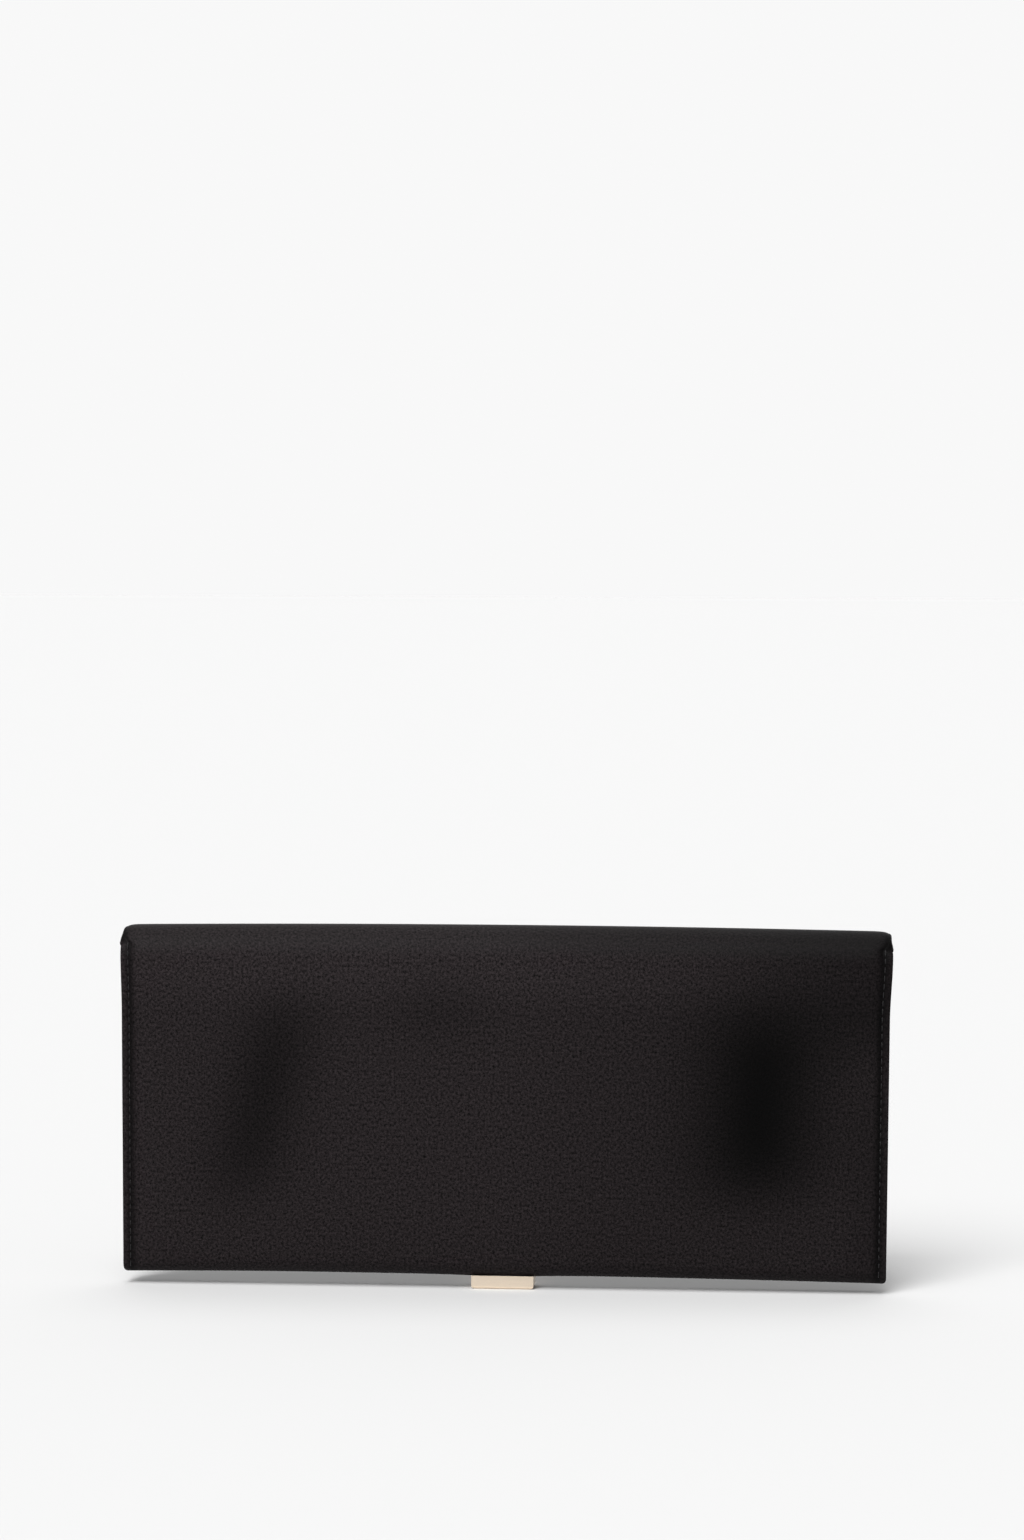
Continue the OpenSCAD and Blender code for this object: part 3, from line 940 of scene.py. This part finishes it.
def stitch_nodes():
    """Lays one stitch, a long bead of thread, at every pitch along each row of points."""
    tree = bpy.data.node_groups.new("stitch row", "GeometryNodeTree")
    sockets = (
        ("Rows", "NodeSocketGeometry"), ("Pitch", "NodeSocketFloat"),
        ("Stitch length", "NodeSocketFloat"), ("Thread radius", "NodeSocketFloat"),
        ("Thread", "NodeSocketMaterial"),
    )
    for name, kind in sockets:
        tree.interface.new_socket(name, in_out="INPUT", socket_type=kind)
    tree.interface.new_socket("Stitches", in_out="OUTPUT", socket_type="NodeSocketGeometry")

    def node(kind, **values):
        made = tree.nodes.new(kind)
        for name, value in values.items():
            setattr(made, name, value)
        return made

    entry, leave = node("NodeGroupInput"), node("NodeGroupOutput")
    spread = node("GeometryNodeResampleCurve", mode="LENGTH")
    tangent = node("GeometryNodeInputTangent")
    turn = node("FunctionNodeAlignRotationToVector", axis="Z")
    bead = node("GeometryNodeMeshUVSphere")
    bead.inputs["Segments"].default_value = 8
    bead.inputs["Rings"].default_value = 6
    bead.inputs["Radius"].default_value = 1.0
    half = node("ShaderNodeMath", operation="MULTIPLY")
    half.inputs[1].default_value = 0.5
    size = node("ShaderNodeCombineXYZ")
    shape = node("GeometryNodeTransform")
    place = node("GeometryNodeInstanceOnPoints")
    real = node("GeometryNodeRealizeInstances")
    paint = node("GeometryNodeSetMaterial")
    links = (
        (entry, "Rows", spread, "Curve"), (entry, "Pitch", spread, "Length"),
        (entry, "Stitch length", half, 0), (half, 0, size, "Z"),
        (entry, "Thread radius", size, "X"), (entry, "Thread radius", size, "Y"),
        (size, 0, shape, "Scale"), (bead, "Mesh", shape, "Geometry"),
        (tangent, 0, turn, "Vector"), (spread, "Curve", place, "Points"),
        (shape, "Geometry", place, "Instance"), (turn, "Rotation", place, "Rotation"),
        (place, "Instances", real, "Geometry"), (real, "Geometry", paint, "Geometry"),
        (entry, "Thread", paint, "Material"), (paint, "Geometry", leave, "Stitches"),
    )
    for source, output, target, socket in links:
        tree.links.new(source.outputs[output], target.inputs[socket])
    return tree


stitch_row = stitch_nodes()
black_thread = thread_finish()
stitch_l = 0.0022
thread_r = 0.00021
thread_sunk = 0.00006
row_step = stitch_pitch / 6


def sew(name, rows, replaces=()):
    """Stitches along rows of points, as one plain mesh."""
    line = bpy.data.curves.new(name, "CURVE")
    line.dimensions = "3D"
    for row in rows:
        spline = line.splines.new("POLY")
        spline.points.add(len(row) - 1)
        spline.points.foreach_set("co", np.hstack([row, np.ones((len(row), 1))]).ravel())
    guide = bpy.data.objects.new(name + "_line", line)
    bpy.context.scene.collection.objects.link(guide)
    nodes = guide.modifiers.new("stitches", "NODES")
    nodes.node_group = stitch_row
    named = {item.name: item.identifier for item in stitch_row.interface.items_tree}
    nodes[named["Pitch"]] = stitch_pitch
    nodes[named["Stitch length"]] = stitch_l
    nodes[named["Thread radius"]] = thread_r
    nodes[named["Thread"]] = black_thread
    real = guide.evaluated_get(bpy.context.evaluated_depsgraph_get())
    mesh = bpy.data.meshes.new_from_object(real)
    bpy.data.objects.remove(guide)
    mesh.shade_smooth()
    made = bpy.data.objects.new(name, mesh)
    bpy.context.scene.collection.objects.link(made)
    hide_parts(*replaces)
    return made


def seam_rows(x, run, puff, low, high, **shape):
    """Rows of points on a cloth at one place across it, both sides, between two heights."""
    spare = 0.004
    points = lay(np.array([-x, x]), run, puff, thread_sunk, **shape)
    wanted = (run[:, 1] >= low - spare) & (run[:, 1] <= high + spare)
    z = np.arange(low, high + 0.0001, row_step)
    rows = []
    for i in (0, 1):
        row = points[wanted, i]
        row = row[np.argsort(row[:, 2])]
        across, deep = (np.interp(z, row[:, 2], row[:, axis]) for axis in (0, 1))
        rows.append(np.stack([across, deep, z], axis=1))
    return rows


def whole_stitches(height):
    """The middle of the stitch nearest to a height."""
    return (round(height / stitch_pitch - 0.5) + 0.5) * stitch_pitch


seam_x = half_w - stitch_margin
back_low = 0.0075
back_high = 0.1205
below_crown = len(back_line) // 8
back_side = seam_rows(
    seam_x, back_line[below_crown:], back_puff, whole_stitches(back_low),
    whole_stitches(back_high), curl=back_shape["curl"][below_crown:], narrow=foot_corner
)
for row, which in zip(back_side, ("left", "right")):
    stitches = sew("back_seam_stitches_" + which, [row], ("seam_stitches_" + which,))
    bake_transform(stitches)

front_low = 0.012
front_high = mouth_z - 0.003
past_fold = 12
front_side = seam_rows(
    seam_x, front_line[past_fold:-len(mouth_turn)], front_puff, whole_stitches(front_low),
    whole_stitches(front_high), free=mouth_z
)
stitches = sew("front_seam_stitches", front_side, ("front_stitches",))
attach(stitches, "front")

flap_x = flap_half - stitch_margin
past_roll = 24
flap_rows = slice(past_roll, -len(hem_turn))
flap_side = seam_rows(
    flap_x, flap_line[flap_rows], flap_puff, whole_stitches(flap_low + stitch_margin),
    whole_stitches(roll_z), curl=flap_shape["curl"][flap_rows], curl_r=edge_r, free=flap_low
)
hem_at = flap_run(0, flap_l - stitch_margin)[-1:]
by_clasp = clasp_box[1].x + 0.002
hem_rows = []
for first, last in ((-flap_x, -by_clasp), (by_clasp, flap_x)):
    places = np.arange(whole_stitches(first), last, row_step)
    points = lay(places, np.repeat(hem_at, 2, axis=0), flap_puff, thread_sunk, free=flap_low)
    hem_rows.append(points[0])
stitches = sew("flap_stitching", flap_side + hem_rows, ("flap_stitches",))
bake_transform(stitches)

pocket_rows = []
inset = 0.0018
corner_gap = 0.004
up = np.linspace(pocket_box[0].z + inset + corner_gap, pocket_box[1].z - 0.001, 60)
for side in (-1, 1):
    across = np.full_like(up, side * (pocket_half - inset))
    proud = pocket_box[0].y + pocket_puff(across, up, 0)
    pocket_rows.append(np.stack([across, proud, up], axis=1))
across = np.linspace(-pocket_half + inset + corner_gap, pocket_half - inset - corner_gap, 120)
low = np.full_like(across, pocket_box[0].z + inset)
proud = pocket_box[0].y + pocket_puff(across, low, 0)
pocket_rows.append(np.stack([across, proud, low], axis=1))
stitches = sew("pocket_stitches", pocket_rows)
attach(stitches, "pouch")

# ---------------------------------------------------------------------------------------------
# Clasp. A channel of pale gold plated brass, bent up behind the fold and soldered at its ends,
# riveted through the flap to a zinc-plated steel plate; a nickel-plated magnet on its floor,
# under a felt patch, pulls on a steel strip bent into the pouch's bottom fold.


def metal_finish(name, colour, rough, grain_scale, coat=0.0):
    """Plated metal with a fine grain."""
    f = Finish(name, Metallic=1.0, Coat_Weight=coat, Coat_Roughness=0.12)
    grain = f.noise(grain_scale, 2.0)
    f.tint(grain, [c * 0.97 for c in colour], colour)
    f.gloss(grain, rough - 0.05, rough + 0.05)
    f.relief(grain, "Fac", 0.1, 0.00001)
    return f.material


pale_gold = metal_finish("pale gold plate", (1.0, 0.85, 0.68), 0.30, (900, 3000, 3000), 0.3)
zinc_steel = metal_finish("zinc plated steel", (0.62, 0.63, 0.64), 0.42, (1500, 1500, 200))
nickel = metal_finish("nickel plate", (0.66, 0.62, 0.56), 0.2, (2500, 2500, 2500))


def softened(name, node, width):
    """A CAD piece's shape with its edges rounded over."""
    mesh = frame["nodes"][node].data.copy()
    bm = bmesh.new()
    bm.from_mesh(mesh)
    bmesh.ops.remove_doubles(bm, verts=bm.verts, dist=1e-7)
    bmesh.ops.dissolve_limit(bm, angle_limit=math.radians(1), verts=bm.verts, edges=bm.edges)
    edges = [e for e in bm.edges if e.is_manifold and e.calc_face_angle(0) > math.radians(30)]
    bmesh.ops.bevel(
        bm, geom=edges, offset=width, segments=3, profile=0.6, affect="EDGES", clamp_overlap=True
    )
    bmesh.ops.recalc_face_normals(bm, faces=bm.faces)
    bm.to_mesh(mesh)
    bm.free()
    mesh.materials.clear()
    mesh.shade_smooth()
    mesh.set_sharp_from_angle(angle=math.radians(40))
    made = bpy.data.objects.new(name, mesh)
    bpy.context.scene.collection.objects.link(made)
    return made


clasp = softened("clasp", "clasp_shell", width=0.00028)
clasp.data.materials.append(pale_gold)
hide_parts("clasp_shell")
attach(clasp, "flap")
dress(("clasp_rivets",), pale_gold)
dress(("clasp_backing_plate", "strike_plate"), zinc_steel)
dress(("clasp_magnet",), nickel)
dress(("magnet_cover",), felt_finish("magnet patch", (0.012, 0.011, 0.0115), (0.03, 0.028, 0.029)))
